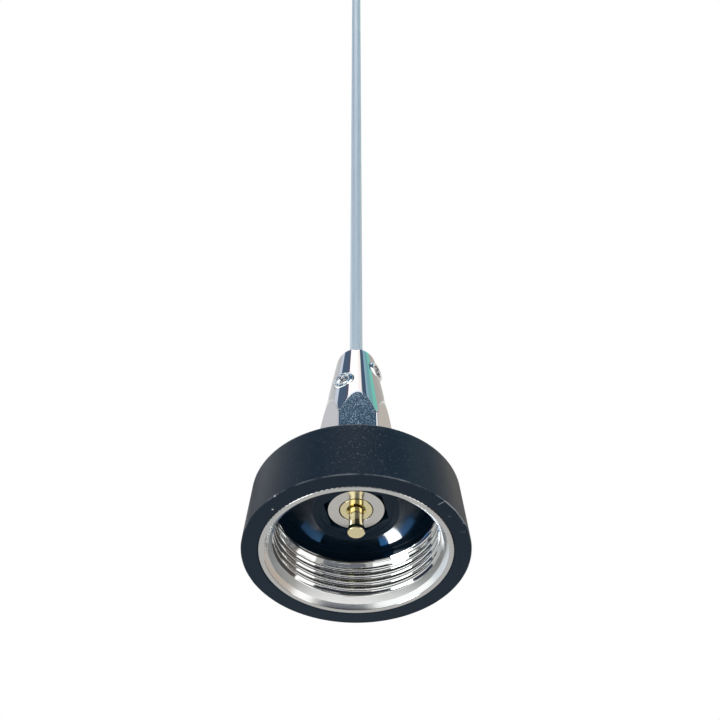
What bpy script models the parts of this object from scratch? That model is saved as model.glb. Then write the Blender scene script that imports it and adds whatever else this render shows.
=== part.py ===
"""Quarter-wave mobile radio antenna with a threaded, spring-contact roof base.

A stainless whip is gripped by two set screws in a chrome ferrule turned from hexagon
bar. The ferrule screws down on a hexagon-headed stud, and the two clamp the black
moulded housing between them, with a rubber gasket under the ferrule. A nickel-plated
ring that carries the mounting thread is set in the housing's rim. In the middle of the
stud stands a gold-plated barrel with a sprung plunger, the antenna's live contact.

Lengths are in metres. The origin is the centre of the rim's bottom plane, and +Z runs
up the whip. Angles are measured from the front, -Y, towards the right, +X.
"""

import math

import bmesh
import bpy

# Clearances
SEAT_GAP = 0.00015
SLIDE_GAP = 0.00010
POCKET_GAP = 0.00018
STUD_HOLE_GAP = 0.00030

# Thread ring, turned from brass tube and set in the rim
THREAD_MAJOR_RADIUS = 0.01429
THREAD_DEPTH = 0.00074
RING_WALL = 0.00171
RING_HEIGHT = 0.00940
RING_FACE_WIDTH = 0.00090
RING_MOUTH_CHAMFER = 0.00085
RING_COUNTERBORE_DEPTH = 0.00220
RING_END_CHAMFER = 0.00025

# Housing, one black moulding
RIM_WIDTH = 0.00275
SHOULDER_DRAFT = 0.00107
RIM_EDGE_RADIUS = 0.00020
SHOULDER_EDGE_RADIUS = 0.00070
CAVITY_STEP = 0.00031
CAVITY_RISE = 0.00245
CAVITY_FLOOR_WIDTH = 0.00180
FLOOR_CORNER = 0.00045
BOSS_DROP = 0.00306
BOSS_RIM_WIDTH = 0.00116
BOSS_RIDGE_STEP = 0.00015
POCKET_WALL = 0.00050
TOP_SKIN = 0.00150
TOP_SLOPE = math.radians(25.0)
TOP_SEAT_MARGIN = 0.00080

# Contact stud, turned from 3/8 inch hexagon bar
HEAD_ACROSS_FLATS = 0.009525
HEAD_THICKNESS = 0.00340
HEAD_RECESS = 0.00036
HEAD_FACE_INSET = 0.00002
HEAD_CHAMFER_ANGLE = math.radians(58.0)
HEAD_TURN = math.radians(17.0)
STUD_RADIUS = 0.00397
STUD_ENGAGEMENT = 0.00950
STUD_CHAMFER = 0.00050

# Contact plunger and the spring behind it
PLUNGER_REACH = 0.00493
PLUNGER_TIP_RADIUS = 0.00146
PLUNGER_TIP_LENGTH = 0.00078
PLUNGER_TIP_CHAMFER = 0.00013
PLUNGER_FLARE = 0.00021
PLUNGER_FLARE_LENGTH = 0.00121
PLUNGER_COLLAR_LENGTH = 0.00150
PLUNGER_PILOT_LENGTH = 0.00080
SPRING_LENGTH = 0.00700
SPRING_WIRE_RADIUS = 0.00018
SPRING_TURNS = 8
SPRING_CLOSED_GAP = 0.00006

# Contact barrel, which holds the plunger and the spring
MOUTH_GAP = 0.00014
BARREL_LIP_WIDTH = 0.00035
BARREL_LIP_THICKNESS = 0.00080
BARREL_WALL = 0.00040
BARREL_END_THICKNESS = 0.00050
BARREL_FLANGE_STEP = 0.00039
BARREL_FLANGE_THICKNESS = 0.00100

# Whip, stainless spring rod
WHIP_RADIUS = 0.00125
WHIP_LENGTH = 0.46990
WHIP_SEAT_DEPTH = 0.01800
WHIP_CHAMFER = 0.00030

# Ferrule, turned from hexagon bar, and its gasket
FERRULE_ACROSS_FLATS = 0.01170
FERRULE_TURN = math.radians(3.4)
FERRULE_WEB = 0.00275
FERRULE_CHAMFER = 0.00045
TAPER_ANGLE = math.radians(8.85)
NOSE_RADIUS = 0.00378
NOSE_DEPTH = 0.00250
NOSE_FLAT_WIDTH = 0.00025
GASKET_THICKNESS = 0.00080
GASKET_MARGIN = 0.00045

# Set screws, 90 degrees apart and one above the other
SET_SCREW_RADIUS = 0.00200
SET_SCREW_POINT = 0.00060
SET_SCREW_CHAMFER = 0.00025
SET_SCREW_PROUD = 0.00020
SOCKET_ACROSS_FLATS = 0.00200
SOCKET_DEPTH = 0.00140
LOWER_SCREW_ANGLE = math.radians(-28.0)
UPPER_SCREW_ANGLE = math.radians(62.0)
UPPER_SCREW_DROP = 0.00735

# Facets
ROUND_STEPS = 72
SMALL_STEPS = 40
ARC_STEPS = 4
RIM_EDGE_STEPS = 2
NOSE_STEPS = 6
SPRING_STEPS = 14
SHARP_ANGLE = math.radians(25.0)
MERGE_DISTANCE = 0.00001
CUTTER_MARGIN = 0.00100


def corner_radius(across_flats):
    """Radius of a hexagon's corners."""
    return across_flats / math.sqrt(3.0)


# Radii that follow from the sizes above
thread_minor_radius = THREAD_MAJOR_RADIUS - THREAD_DEPTH
ring_radius = THREAD_MAJOR_RADIUS + RING_WALL
rim_radius = ring_radius + RIM_WIDTH
shoulder_radius = rim_radius - SHOULDER_DRAFT
cavity_radius = THREAD_MAJOR_RADIUS + CAVITY_STEP
cone_radius = cavity_radius - CAVITY_FLOOR_WIDTH
pocket_across_flats = HEAD_ACROSS_FLATS + 2.0 * POCKET_GAP
boss_ridge_radius = corner_radius(pocket_across_flats) + POCKET_WALL
boss_radius = boss_ridge_radius + BOSS_RIM_WIDTH
head_face_radius = HEAD_ACROSS_FLATS / 2.0 - HEAD_FACE_INSET
stud_hole_radius = STUD_RADIUS + SLIDE_GAP
neck_radius = PLUNGER_TIP_RADIUS - PLUNGER_FLARE
mouth_radius = PLUNGER_TIP_RADIUS + MOUTH_GAP
barrel_bore_radius = mouth_radius + BARREL_LIP_WIDTH
barrel_radius = barrel_bore_radius + BARREL_WALL
flange_radius = barrel_radius + BARREL_FLANGE_STEP
collar_radius = barrel_bore_radius - SLIDE_GAP
coil_radius = collar_radius - SPRING_WIRE_RADIUS
pilot_radius = coil_radius - SPRING_WIRE_RADIUS - SEAT_GAP
ferrule_corner_radius = corner_radius(FERRULE_ACROSS_FLATS)
whip_hole_radius = WHIP_RADIUS + SLIDE_GAP
nose_flat_radius = whip_hole_radius + NOSE_FLAT_WIDTH
gasket_radius = ferrule_corner_radius + GASKET_MARGIN
top_seat_radius = gasket_radius + TOP_SEAT_MARGIN

# Heights of the housing and of what is clamped to it
pocket_height = RING_HEIGHT + SEAT_GAP
cavity_height = pocket_height + CAVITY_RISE
boss_height = cavity_height - BOSS_DROP
seat_height = cavity_height + TOP_SKIN + (cavity_radius - top_seat_radius) * math.tan(TOP_SLOPE)
shoulder_height = cavity_height + TOP_SKIN - (shoulder_radius - cavity_radius) * math.tan(TOP_SLOPE)
head_face = boss_height + HEAD_RECESS
head_top = head_face + HEAD_THICKNESS
gasket_bottom = seat_height + SEAT_GAP
gasket_top = gasket_bottom + GASKET_THICKNESS
ferrule_bottom = gasket_top + SEAT_GAP
stud_top = ferrule_bottom + STUD_ENGAGEMENT
stud_hole_top = stud_top + STUD_HOLE_GAP
whip_hole_bottom = stud_hole_top + FERRULE_WEB
whip_bottom = whip_hole_bottom + SEAT_GAP
ferrule_top = whip_hole_bottom + WHIP_SEAT_DEPTH
whip_top = whip_bottom + WHIP_LENGTH
upper_screw_height = ferrule_top - UPPER_SCREW_DROP
lower_screw_height = upper_screw_height - 2.0 * SET_SCREW_RADIUS

# Heights inside the contact
lip_top = head_face + BARREL_LIP_THICKNESS
collar_bottom = lip_top + SLIDE_GAP
collar_top = collar_bottom + PLUNGER_COLLAR_LENGTH
spring_bottom = collar_top + SEAT_GAP
spring_top = spring_bottom + SPRING_LENGTH
barrel_bore_top = spring_top + SEAT_GAP
barrel_top = barrel_bore_top + BARREL_END_THICKNESS
tip_height = head_face - PLUNGER_REACH


def taper_radius(height):
    """Radius of the ferrule's turned cone at a height."""
    return NOSE_RADIUS + (ferrule_top - NOSE_DEPTH - height) * math.tan(TAPER_ANGLE)


def clear_scene():
    """Remove every object, with the meshes and collections they leave behind."""
    for obj in list(bpy.data.objects):
        bpy.data.objects.remove(obj, do_unlink=True)
    for collection in list(bpy.data.collections):
        bpy.data.collections.remove(collection)


def new_collection(name):
    """Add a collection to the scene."""
    collection = bpy.data.collections.new(name)
    bpy.context.scene.collection.children.link(collection)
    return collection


def new_object(name, data, collection):
    """Add an object that holds a mesh or a curve."""
    obj = bpy.data.objects.new(name, data)
    collection.objects.link(obj)
    return obj


def finish(obj, color, roughness, metallic):
    """Give a piece its own Principled material."""
    material = bpy.data.materials.new(obj.name)
    material.use_nodes = True
    shader = material.node_tree.nodes["Principled BSDF"]
    shader.inputs["Base Color"].default_value = (*color, 1.0)
    shader.inputs["Roughness"].default_value = roughness
    shader.inputs["Metallic"].default_value = metallic
    obj.data.materials.append(material)


def as_cutter(obj):
    """Mark an object as a tool that is cut with and not shown."""
    obj.hide_render = True
    obj.display_type = "WIRE"
    return obj


def arc(center, radius, start, end, steps=ARC_STEPS):
    """Points on an arc in the outline's plane, from one angle in degrees to another."""
    points = []
    for step in range(steps + 1):
        angle = math.radians(start + (end - start) * step / steps)
        points.append((center[0] + radius * math.cos(angle), center[1] + radius * math.sin(angle)))
    return points


def turned(name, outline, collection, steps=ROUND_STEPS):
    """Turn an outline of (radius, height) points round Z, as on a lathe.

    The outline runs down its outer side. It is a closed loop, unless both its ends lie
    on the axis.
    """
    mesh = bpy.data.meshes.new(name)
    edges = [(i, i + 1) for i in range(len(outline) - 1)]
    if outline[0][0] > 0.0:
        edges.append((len(outline) - 1, 0))
    mesh.from_pydata([(radius, 0.0, height) for radius, height in outline], edges, [])
    blank = new_object(name, mesh, collection)
    screw = blank.modifiers.new("turn", "SCREW")
    screw.axis = "Z"
    screw.angle = 2.0 * math.pi
    screw.steps = steps
    screw.render_steps = steps
    screw.use_merge_vertices = True
    screw.merge_threshold = MERGE_DISTANCE
    evaluated = blank.evaluated_get(bpy.context.evaluated_depsgraph_get())
    blank.data = bpy.data.meshes.new_from_object(evaluated)
    blank.modifiers.clear()
    blank.data.shade_smooth()
    blank.data.set_sharp_from_angle(angle=SHARP_ANGLE)
    return blank


def hexagon_bar(name, across_flats, bottom, top, turn, collection):
    """A length of hexagon bar, with a flat facing the front when it isn't turned."""
    shape = bmesh.new()
    bmesh.ops.create_cone(
        shape,
        cap_ends=True,
        segments=6,
        radius1=corner_radius(across_flats),
        radius2=corner_radius(across_flats),
        depth=top - bottom,
    )
    mesh = bpy.data.meshes.new(name)
    shape.to_mesh(mesh)
    shape.free()
    bar = new_object(name, mesh, collection)
    bar.location.z = (top + bottom) / 2.0
    bar.rotation_euler.z = turn + math.radians(30.0)
    return bar


def cut(obj, cutter, operation="DIFFERENCE"):
    """Cut or trim a piece with another object."""
    boolean = obj.modifiers.new(cutter.name, "BOOLEAN")
    boolean.operation = operation
    boolean.solver = "EXACT"
    boolean.object = as_cutter(cutter)


def aim_outwards(obj, angle, height, distance):
    """Point an object's Z outwards from the whip, at an angle from the front."""
    obj.rotation_euler = (math.radians(90.0), 0.0, angle)
    obj.location = (distance * math.sin(angle), -distance * math.cos(angle), height)


def make_thread_ring(parts):
    """Plated ring: flat face, mouth chamfer, counterbore and the bore of the thread."""
    outline = [
        (thread_minor_radius + RING_END_CHAMFER, RING_HEIGHT),
        (ring_radius - RING_END_CHAMFER, RING_HEIGHT),
        (ring_radius, RING_HEIGHT - RING_END_CHAMFER),
        (ring_radius, 0.0),
        (ring_radius - RING_FACE_WIDTH, 0.0),
        (THREAD_MAJOR_RADIUS, RING_MOUTH_CHAMFER),
        (THREAD_MAJOR_RADIUS, RING_COUNTERBORE_DEPTH),
        (thread_minor_radius, RING_COUNTERBORE_DEPTH + THREAD_DEPTH / 2.0),
        (thread_minor_radius, RING_HEIGHT - RING_END_CHAMFER),
    ]
    ring = turned("thread_ring", outline, parts)
    finish(ring, (0.72, 0.72, 0.70), 0.18, 1.0)


def make_housing(parts, cutters):
    """Black moulding: tapered skirt, sloping top, cavity with a cone, boss and hex pocket."""
    pocket_radius = ring_radius + SEAT_GAP
    slope_degrees = math.degrees(TOP_SLOPE)
    draft_degrees = math.degrees(math.atan2(SHOULDER_DRAFT, shoulder_height))
    shoulder_center = (
        shoulder_radius - SHOULDER_EDGE_RADIUS,
        shoulder_height - SHOULDER_EDGE_RADIUS * math.tan(math.radians(45.0 - slope_degrees / 2.0)),
    )
    rim_center = (rim_radius - RIM_EDGE_RADIUS, RIM_EDGE_RADIUS)
    outline = [
        (stud_hole_radius, seat_height),
        (top_seat_radius, seat_height),
        *arc(shoulder_center, SHOULDER_EDGE_RADIUS, 90.0 - slope_degrees, draft_degrees),
        *arc(rim_center, RIM_EDGE_RADIUS, 0.0, -90.0, RIM_EDGE_STEPS),
        (pocket_radius, 0.0),
        (pocket_radius, pocket_height),
        (cavity_radius, pocket_height),
        (cavity_radius, cavity_height),
        (cone_radius, cavity_height),
        (cone_radius, cavity_height - FLOOR_CORNER),
        (boss_radius, boss_height),
        (boss_ridge_radius, boss_height),
        (boss_ridge_radius, boss_height + BOSS_RIDGE_STEP),
        (stud_hole_radius, boss_height + BOSS_RIDGE_STEP),
    ]
    housing = turned("housing", outline, parts)
    pocket = hexagon_bar(
        "head_pocket",
        pocket_across_flats,
        boss_height - CUTTER_MARGIN,
        head_top + SEAT_GAP,
        HEAD_TURN,
        cutters,
    )
    cut(housing, pocket)
    finish(housing, (0.018, 0.024, 0.032), 0.42, 0.0)


def make_contact_stud(parts, cutters):
    """Stud: chamfered hexagon head, shank for the ferrule and a bore for the barrel."""
    head_radius = corner_radius(HEAD_ACROSS_FLATS) + CUTTER_MARGIN
    chamfer_rise = (head_radius - head_face_radius) * math.tan(HEAD_CHAMFER_ANGLE)
    flange_bore = flange_radius + SEAT_GAP
    flange_depth = head_face + BARREL_FLANGE_THICKNESS + SEAT_GAP
    bore_radius = barrel_radius + SEAT_GAP
    bore_top = barrel_top + SEAT_GAP
    outline = [
        (0.0, stud_top),
        (STUD_RADIUS - STUD_CHAMFER, stud_top),
        (STUD_RADIUS, stud_top - STUD_CHAMFER),
        (STUD_RADIUS, head_top),
        (head_radius, head_top),
        (head_radius, head_face + chamfer_rise),
        (head_face_radius, head_face),
        (flange_bore, head_face),
        (flange_bore, flange_depth),
        (bore_radius, flange_depth),
        (bore_radius, bore_top),
        (0.0, bore_top),
    ]
    stud = turned("contact_stud", outline, parts, SMALL_STEPS)
    bar = hexagon_bar(
        "stud_hexagon",
        HEAD_ACROSS_FLATS,
        head_face - CUTTER_MARGIN,
        stud_top + CUTTER_MARGIN,
        HEAD_TURN,
        cutters,
    )
    cut(stud, bar, "INTERSECT")
    finish(stud, (0.70, 0.69, 0.68), 0.22, 1.0)


def make_contact_barrel(parts):
    """Gold-plated barrel: flange, plain body and a lip that keeps the plunger in."""
    chamfer = BARREL_WALL / 2.0
    flange_top = head_face + BARREL_FLANGE_THICKNESS
    outline = [
        (0.0, barrel_top),
        (barrel_radius - chamfer, barrel_top),
        (barrel_radius, barrel_top - chamfer),
        (barrel_radius, flange_top),
        (flange_radius, flange_top),
        (flange_radius, head_face),
        (mouth_radius, head_face),
        (mouth_radius, lip_top),
        (barrel_bore_radius, lip_top),
        (barrel_bore_radius, barrel_bore_top),
        (0.0, barrel_bore_top),
    ]
    barrel = turned("contact_barrel", outline, parts, SMALL_STEPS)
    finish(barrel, (0.83, 0.66, 0.32), 0.20, 1.0)


def make_contact_plunger(parts):
    """Gold-plated plunger: flared tip, neck, collar behind the lip and spring pilot."""
    tip_top = tip_height + PLUNGER_TIP_LENGTH
    neck_bottom = tip_top + PLUNGER_FLARE_LENGTH
    outline = [
        (0.0, collar_top + PLUNGER_PILOT_LENGTH),
        (pilot_radius, collar_top + PLUNGER_PILOT_LENGTH),
        (pilot_radius, collar_top),
        (collar_radius, collar_top),
        (collar_radius, collar_bottom),
        (neck_radius, collar_bottom),
        (neck_radius, neck_bottom),
        (PLUNGER_TIP_RADIUS, tip_top),
        (PLUNGER_TIP_RADIUS, tip_height + PLUNGER_TIP_CHAMFER),
        (PLUNGER_TIP_RADIUS - PLUNGER_TIP_CHAMFER, tip_height),
        (0.0, tip_height),
    ]
    plunger = turned("contact_plunger", outline, parts, SMALL_STEPS)
    finish(plunger, (0.83, 0.66, 0.32), 0.18, 1.0)


def make_contact_spring(parts):
    """Compression spring with a closed turn at each end, wound as a helix."""
    closed_pitch = 2.0 * SPRING_WIRE_RADIUS + SPRING_CLOSED_GAP
    open_rise = SPRING_LENGTH - 2.0 * SPRING_WIRE_RADIUS - 2.0 * closed_pitch
    open_pitch = open_rise / (SPRING_TURNS - 2)
    curve = bpy.data.curves.new("contact_spring", "CURVE")
    curve.dimensions = "3D"
    curve.bevel_depth = SPRING_WIRE_RADIUS
    curve.bevel_resolution = 2
    curve.use_fill_caps = True
    spline = curve.splines.new("POLY")
    count = SPRING_TURNS * SPRING_STEPS
    spline.points.add(count)
    height = spring_bottom + SPRING_WIRE_RADIUS
    for step in range(count + 1):
        turns = step / SPRING_STEPS
        angle = 2.0 * math.pi * turns
        x = coil_radius * math.cos(angle)
        y = coil_radius * math.sin(angle)
        spline.points[step].co = (x, y, height, 1.0)
        closed = turns < 1.0 or turns >= SPRING_TURNS - 1.0
        height += (closed_pitch if closed else open_pitch) / SPRING_STEPS
    spring = new_object("contact_spring", curve, parts)
    finish(spring, (0.60, 0.58, 0.54), 0.30, 1.0)


def make_ferrule_gasket(parts):
    """Flat rubber washer that seals the ferrule to the housing's top."""
    outline = [
        (stud_hole_radius, gasket_top),
        (gasket_radius, gasket_top),
        (gasket_radius, gasket_bottom),
        (stud_hole_radius, gasket_bottom),
    ]
    gasket = turned("ferrule_gasket", outline, parts)
    finish(gasket, (0.02, 0.02, 0.02), 0.75, 0.0)


def set_screw_places():
    """Name, angle and height of each set screw."""
    return (
        ("set_screw_lower", LOWER_SCREW_ANGLE, lower_screw_height),
        ("set_screw_upper", UPPER_SCREW_ANGLE, upper_screw_height),
    )


def make_whip_ferrule(parts, cutters):
    """Chrome ferrule: a cone with a rounded nose, turned on hexagon bar."""
    blank_radius = ferrule_corner_radius + CUTTER_MARGIN
    nose_base = ferrule_top - NOSE_DEPTH
    nose_width = NOSE_RADIUS - nose_flat_radius
    nose = []
    for out, up in arc((0.0, 0.0), 1.0, 90.0, 0.0, NOSE_STEPS):
        nose.append((nose_flat_radius + out * nose_width, nose_base + up * NOSE_DEPTH))
    outline = [
        (0.0, whip_hole_bottom),
        (whip_hole_radius, whip_hole_bottom),
        (whip_hole_radius, ferrule_top),
        *nose,
        (blank_radius, nose_base - (blank_radius - NOSE_RADIUS) / math.tan(TAPER_ANGLE)),
        (blank_radius, ferrule_bottom + CUTTER_MARGIN + FERRULE_CHAMFER),
        (ferrule_corner_radius - FERRULE_CHAMFER, ferrule_bottom),
        (stud_hole_radius, ferrule_bottom),
        (stud_hole_radius, stud_hole_top),
        (0.0, stud_hole_top),
    ]
    ferrule = turned("whip_ferrule", outline, parts)
    bar = hexagon_bar(
        "ferrule_hexagon",
        FERRULE_ACROSS_FLATS,
        ferrule_bottom - CUTTER_MARGIN,
        ferrule_top + CUTTER_MARGIN,
        FERRULE_TURN,
        cutters,
    )
    cut(ferrule, bar, "INTERSECT")
    for name, angle, height in set_screw_places():
        hole_radius = SET_SCREW_RADIUS + SLIDE_GAP
        reach = taper_radius(height) + 2.0 * CUTTER_MARGIN
        outline = [(0.0, reach), (hole_radius, reach), (hole_radius, 0.0), (0.0, 0.0)]
        hole = turned(name + "_hole", outline, cutters, SMALL_STEPS)
        aim_outwards(hole, angle, height, 0.0)
        cut(ferrule, hole)
    finish(ferrule, (0.78, 0.79, 0.80), 0.08, 1.0)


def make_set_screws(parts, cutters):
    """Socket set screws that press on the whip and stand a little proud of the cone."""
    for name, angle, height in set_screw_places():
        point_distance = WHIP_RADIUS + SEAT_GAP
        length = taper_radius(height) + SET_SCREW_PROUD - point_distance
        outline = [
            (0.0, length),
            (SET_SCREW_RADIUS - SET_SCREW_CHAMFER, length),
            (SET_SCREW_RADIUS, length - SET_SCREW_CHAMFER),
            (SET_SCREW_RADIUS, SET_SCREW_POINT),
            (SET_SCREW_RADIUS - SET_SCREW_POINT, 0.0),
            (0.0, 0.0),
        ]
        screw = turned(name, outline, parts, SMALL_STEPS)
        aim_outwards(screw, angle, height, point_distance)
        socket = hexagon_bar(
            name + "_socket",
            SOCKET_ACROSS_FLATS,
            length - SOCKET_DEPTH,
            length + CUTTER_MARGIN,
            0.0,
            cutters,
        )
        socket.data.transform(socket.matrix_basis)
        aim_outwards(socket, angle, height, point_distance)
        cut(screw, socket)
        finish(screw, (0.74, 0.75, 0.76), 0.15, 1.0)


def make_whip(parts):
    """Stainless rod with a rounded free end."""
    outline = [
        (0.0, whip_top),
        *arc((0.0, whip_top - WHIP_RADIUS), WHIP_RADIUS, 90.0, 0.0)[1:],
        (WHIP_RADIUS, whip_bottom + WHIP_CHAMFER),
        (WHIP_RADIUS - WHIP_CHAMFER, whip_bottom),
        (0.0, whip_bottom),
    ]
    whip = turned("whip", outline, parts, SMALL_STEPS)
    finish(whip, (0.62, 0.65, 0.66), 0.28, 1.0)


def build():
    """Make every piece of the antenna."""
    clear_scene()
    parts = new_collection("mobile_radio_antenna")
    cutters = new_collection("cutters")
    make_thread_ring(parts)
    make_housing(parts, cutters)
    make_contact_stud(parts, cutters)
    make_contact_barrel(parts)
    make_contact_plunger(parts)
    make_contact_spring(parts)
    make_ferrule_gasket(parts)
    make_whip_ferrule(parts, cutters)
    make_set_screws(parts, cutters)
    make_whip(parts)


build()
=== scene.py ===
"""Looks of a quarter-wave mobile radio antenna, seen from below its threaded base."""

import math

import bmesh
import bpy
import numpy as np
from mathutils import Matrix, Vector


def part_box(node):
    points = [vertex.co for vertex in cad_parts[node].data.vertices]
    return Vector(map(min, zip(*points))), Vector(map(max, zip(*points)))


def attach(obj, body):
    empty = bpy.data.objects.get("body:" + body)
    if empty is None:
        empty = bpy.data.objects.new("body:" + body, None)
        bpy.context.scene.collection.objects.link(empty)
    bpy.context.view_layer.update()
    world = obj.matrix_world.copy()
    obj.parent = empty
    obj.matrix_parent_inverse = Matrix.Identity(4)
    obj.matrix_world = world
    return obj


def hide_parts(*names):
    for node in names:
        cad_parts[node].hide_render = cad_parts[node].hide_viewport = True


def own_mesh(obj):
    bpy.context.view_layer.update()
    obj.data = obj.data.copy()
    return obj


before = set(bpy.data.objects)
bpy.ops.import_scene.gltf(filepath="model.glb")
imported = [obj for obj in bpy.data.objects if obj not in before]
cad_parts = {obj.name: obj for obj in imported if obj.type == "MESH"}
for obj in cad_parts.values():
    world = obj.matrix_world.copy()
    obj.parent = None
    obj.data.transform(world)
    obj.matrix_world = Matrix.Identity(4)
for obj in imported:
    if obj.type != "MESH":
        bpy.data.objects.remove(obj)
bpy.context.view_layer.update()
scene = bpy.context.scene
scene.view_settings.view_transform = "Standard"
MM = 0.001

# Thread ring
# A brass tube, turned, threaded and knurled, then plated with bright nickel. The knurl
# holds it in the moulded housing, and its right-hand thread takes the roof mount.
ring_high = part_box("thread_ring")[1]
RING_RADIUS = ring_high.x
RING_HEIGHT = ring_high.z
RING_FACE_WIDTH = 0.90 * MM
RING_MOUTH_CHAMFER = 0.73 * MM
RING_LEAD_LENGTH = 2.03 * MM
RING_RELIEF_DEPTH = 0.74 * MM
RING_RELIEF_SLOPE = 0.72
RING_END_CHAMFER = 0.25 * MM
THREAD_MAJOR_RADIUS = 14.29 * MM
THREAD_MINOR_RADIUS = 13.55 * MM
THREAD_PITCH = 25.4 / 18.0 * MM
FIRST_CREST = 2.97 * MM
CREST_SHARE = 0.125
FLANK_SHARE = 0.303
CREST_WEAR = 0.10
THREAD_START = 1.45 * MM
THREAD_FULL = 2.10 * MM
ROWS_PER_TURN = 24
TURNS_BELOW_CREST = 3.0
KNURL_TEETH = 120
KNURL_DEPTH = 0.14 * MM
COLUMNS_PER_TOOTH = 4
RING_EDGE = 0.05 * MM
RING_FACE_BAND = 0.04 * MM
NICKEL_COLOR = (0.67, 0.67, 0.66)
MERGE_DISTANCE = 0.001 * MM
SLIVER_LENGTH = 0.0005 * MM
SHARP_ANGLE = math.radians(40.0)


class Signal:
    """A shader socket in arithmetic: each operator adds one Math node."""

    def __init__(self, finish, socket):
        self.finish = finish
        self.socket = socket

    def math(self, operation, *others):
        return self.finish.node("ShaderNodeMath", {"operation": operation}, dict(enumerate((self, *others))))

    def __add__(self, other):
        return self.math("ADD", other)

    def __sub__(self, other):
        return self.math("SUBTRACT", other)

    def __mul__(self, other):
        return self.math("MULTIPLY", other)

    def __truediv__(self, other):
        return self.math("DIVIDE", other)

    def __pow__(self, other):
        return self.math("POWER", other)

    def __lt__(self, other):
        return self.math("LESS_THAN", other)

    def __gt__(self, other):
        return self.math("GREATER_THAN", other)

    def __rsub__(self, other):
        return (self * -1.0) + other

    __radd__ = __add__
    __rmul__ = __mul__


class Finish:
    """A surface finish: a Principled shader and the nodes that vary it."""

    def __init__(self, name, **constants):
        self.material = bpy.data.materials.new(name)
        self.material.use_nodes = True
        self.tree = self.material.node_tree
        self.shader = self.tree.nodes["Principled BSDF"]
        for words, value in constants.items():
            socket = self.shader.inputs[words.replace("_", " ")]
            socket.default_value = (*value, 1.0) if isinstance(value, tuple) else value
        self.place = self.node("ShaderNodeTexCoord", {}, {}, "Object")
        self.x, self.y, self.z = (
            self.node("ShaderNodeSeparateXYZ", {}, {0: self.place}, axis) for axis in range(3)
        )

    def node(self, kind, settings, values, output=0):
        """Add a node: its settings first, then its sockets' values or links."""
        made = self.tree.nodes.new(kind)
        for name, value in settings.items():
            setattr(made, name, value)
        for name, value in values.items():
            if isinstance(value, Signal):
                self.tree.links.new(value.socket, made.inputs[name])
            else:
                made.inputs[name].default_value = value
        return Signal(self, made.outputs[output])

    def noise(self, vector, scale, detail=2.0, roughness=0.5):
        """Noise from 0 to 1 over a vector, with features of 1 / scale metres."""
        values = {"Vector": vector, "Scale": scale, "Detail": detail, "Roughness": roughness}
        return self.node("ShaderNodeTexNoise", {}, values)

    def stretched_noise(self, across, along, detail=2.0, roughness=0.5):
        """Noise with one scale across Z and another along it, such as the marks on drawn bar."""
        vector = self.vector(self.x * across, self.y * across, self.z * along)
        return self.noise(vector, 1.0, detail, roughness)

    def vector(self, x, y, z):
        """A vector of three numbers or signals."""
        return self.node("ShaderNodeCombineXYZ", {}, {0: x, 1: y, 2: z})

    def blend(self, factor, first, second):
        """Colour that goes from the first to the second as the factor goes from 0 to 1.

        A Mix node's sockets 6 and 7 are its two colours, and its output 2 is their mix.
        """
        values = {"Factor": factor, 6: (*first, 1.0) if isinstance(first, tuple) else first}
        values[7] = (*second, 1.0) if isinstance(second, tuple) else second
        return self.node("ShaderNodeMix", {"data_type": "RGBA"}, values, 2)

    def drive(self, name, signal):
        """Let a signal vary one of the shader's sockets."""
        self.tree.links.new(signal.socket, self.shader.inputs[name])

    def bump(self, height, distance):
        """Raise the surface by a height from 0 to 1 times a distance in metres."""
        values = {"Height": height, "Distance": distance, "Strength": 1.0}
        self.drive("Normal", self.node("ShaderNodeBump", {}, values))


def turning_marks(finish, across=9000.0, around=14.0):
    """Noise in thin rings round Z, as a lathe tool leaves: it runs far round and not across."""
    radius = (finish.x * finish.x + finish.y * finish.y) ** 0.5
    angle = finish.y.math("ARCTAN2", finish.x)
    return finish.noise(finish.vector(radius * across, finish.z * across, angle * around), 1.0, 3.0, 0.6)


def eased(outline, ease, closed=True, steps=3):
    """Round an outline's corners.

    A corner B between the points P and Q, at the easing distance along its two sides,
    becomes the curve (1-t)^2 P + 2t(1-t) B + t^2 Q. One more point at twice the distance
    on each side keeps the faces beside the curve flat.
    """
    corner = np.array(outline, dtype=float)
    sides = []
    for shift in (1, -1):
        side = np.roll(corner, shift, axis=0) - corner
        length = np.maximum(np.hypot(side[:, 0], side[:, 1]), 1e-9)
        sides.append(side * np.minimum(ease / length, 0.25)[:, None])
    before, after = (side[:, None] for side in sides)
    middle = corner[:, None]
    t = np.linspace(0.0, 1.0, steps + 1)[None, :, None]
    curve = (1 - t) ** 2 * (middle + before) + 2 * t * (1 - t) * middle + t**2 * (middle + after)
    points = np.concatenate([middle + 2 * before, curve, middle + 2 * after], axis=1)
    if closed:
        flat = points.reshape(-1, corner.shape[1])
        return np.concatenate([flat, flat[:1]])
    inner = points[1:-1].reshape(-1, corner.shape[1])
    return np.concatenate([corner[:1], inner, corner[-1:]])


def turned(outline, columns, turn=0.0, shape=1.0):
    """Grid of an outline carried round Z.

    The rows are the outline's points (r, z, m), and the columns are angles a from the
    turn on: x = r s cos a and y = r s sin a, where s is 1 + m (shape - 1).
    """
    angle = turn + np.linspace(0.0, 2.0 * np.pi, columns, endpoint=False)
    share = outline[:, 2:3] if outline.shape[1] > 2 else 0.0
    radius = outline[:, :1] * (1.0 + share * (shape - 1.0))
    x = radius * np.cos(angle)
    height = np.broadcast_to(outline[:, 1:2], x.shape)
    return np.stack([x, radius * np.sin(angle), height], axis=-1)


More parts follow.
